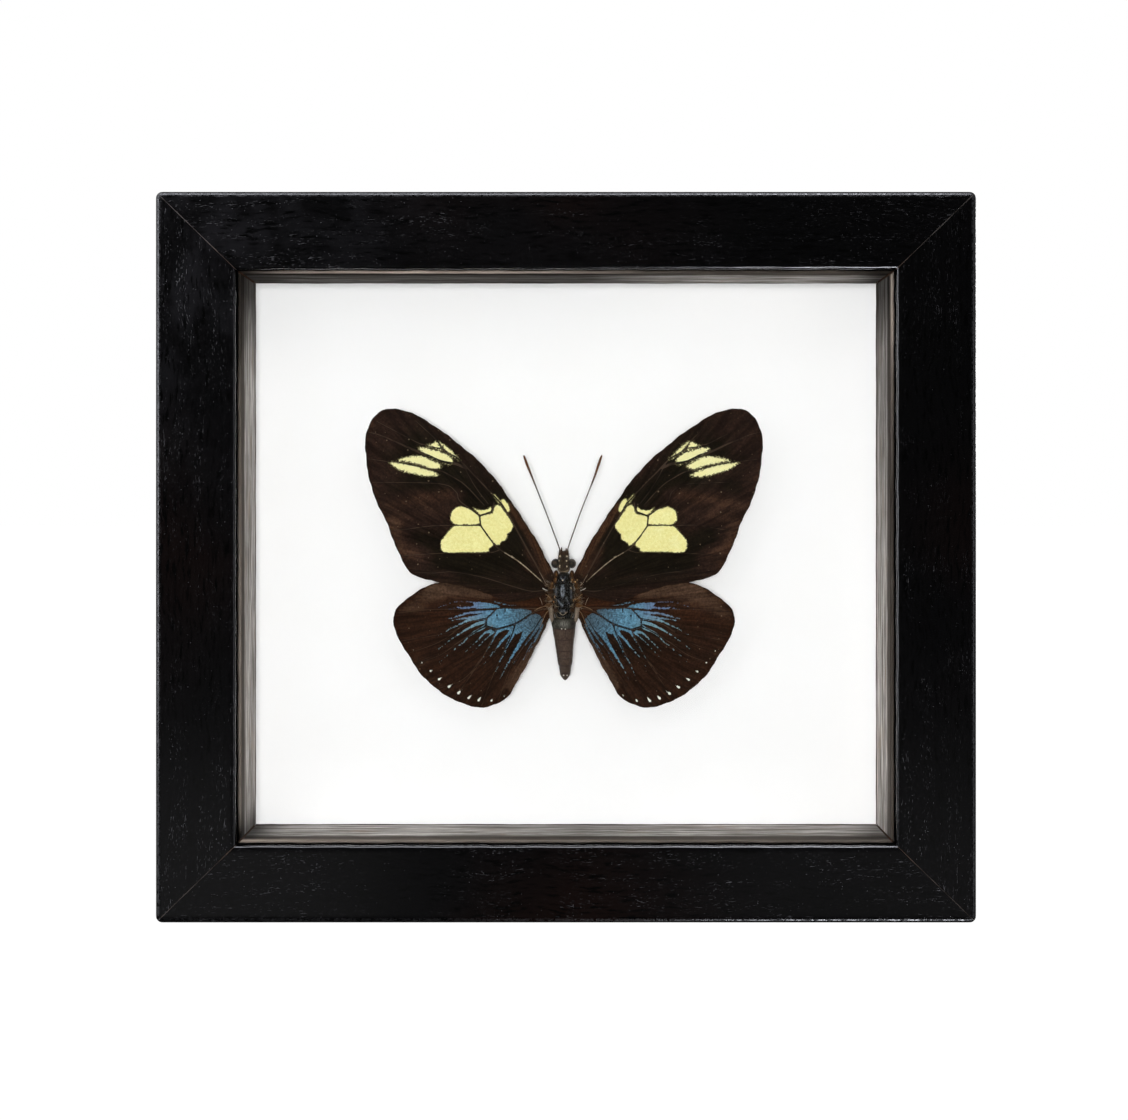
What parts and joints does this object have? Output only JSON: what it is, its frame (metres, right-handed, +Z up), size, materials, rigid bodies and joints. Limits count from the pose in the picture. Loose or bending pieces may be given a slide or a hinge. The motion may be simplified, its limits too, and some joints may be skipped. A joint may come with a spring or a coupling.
{
  "type": "framed butterfly specimen",
  "caption": "Spread dry butterfly on a white board behind glass, in a deep mitred black wood frame that stands upright or hangs on a wall.",
  "frame": {"origin": "bottom centre of the whole object's box", "axes": "+X to the right as the front is faced, +Y to the back, +Z up; the glass faces -Y"},
  "size_m": [0.165, 0.0364, 0.147],
  "materials": {
    "black_lacquer": "black lacquer over open grain, satin to gloss",
    "clear_glass": "clear",
    "grey_stain": "grey-brown stained, streaky grain, satin",
    "white_board": "matt white board",
    "hardboard": "pressed brown hardboard",
    "steel": "plain rolled steel",
    "brassed_steel": "brass-coated steel, satin",
    "white_foam": "fine closed-cell foam",
    "body_chitin": "black chitin with scales and hairs",
    "abdomen_skin": "dull grey-brown scales",
    "wing_scales": "velvety dark brown scales with yellow and blue patches",
    "antenna_horn": "dark brown, satin"
  },
  "bodies": {
    "root": {"rail_top": "black_lacquer", "rail_bottom": "black_lacquer", "rail_left": "black_lacquer", "rail_right": "black_lacquer", "glass": "clear_glass", "spacer_top": "grey_stain", "spacer_bottom": "grey_stain", "spacer_left": "grey_stain", "spacer_right": "grey_stain", "mount_board": "white_board", "back_panel": "hardboard", "retaining_tab_1": "steel", "retaining_tab_2": "steel", "retaining_tab_3": "steel", "retaining_tab_4": "steel", "retaining_tab_5": "steel", "retaining_tab_6": "steel", "sawtooth_hanger": "brassed_steel", "hanger_nail_left": "brassed_steel", "hanger_nail_right": "brassed_steel", "specimen_block": "white_foam", "head": "body_chitin", "thorax": "body_chitin", "abdomen": "abdomen_skin", "forewing_left": "wing_scales", "forewing_right": "wing_scales", "hindwing_left": "wing_scales", "hindwing_right": "wing_scales", "antenna_left": "antenna_horn", "antenna_right": "antenna_horn", "leg_mid_left": "antenna_horn", "leg_mid_right": "antenna_horn", "leg_hind_left": "antenna_horn", "leg_hind_right": "antenna_horn"}
  },
  "joints": []
}
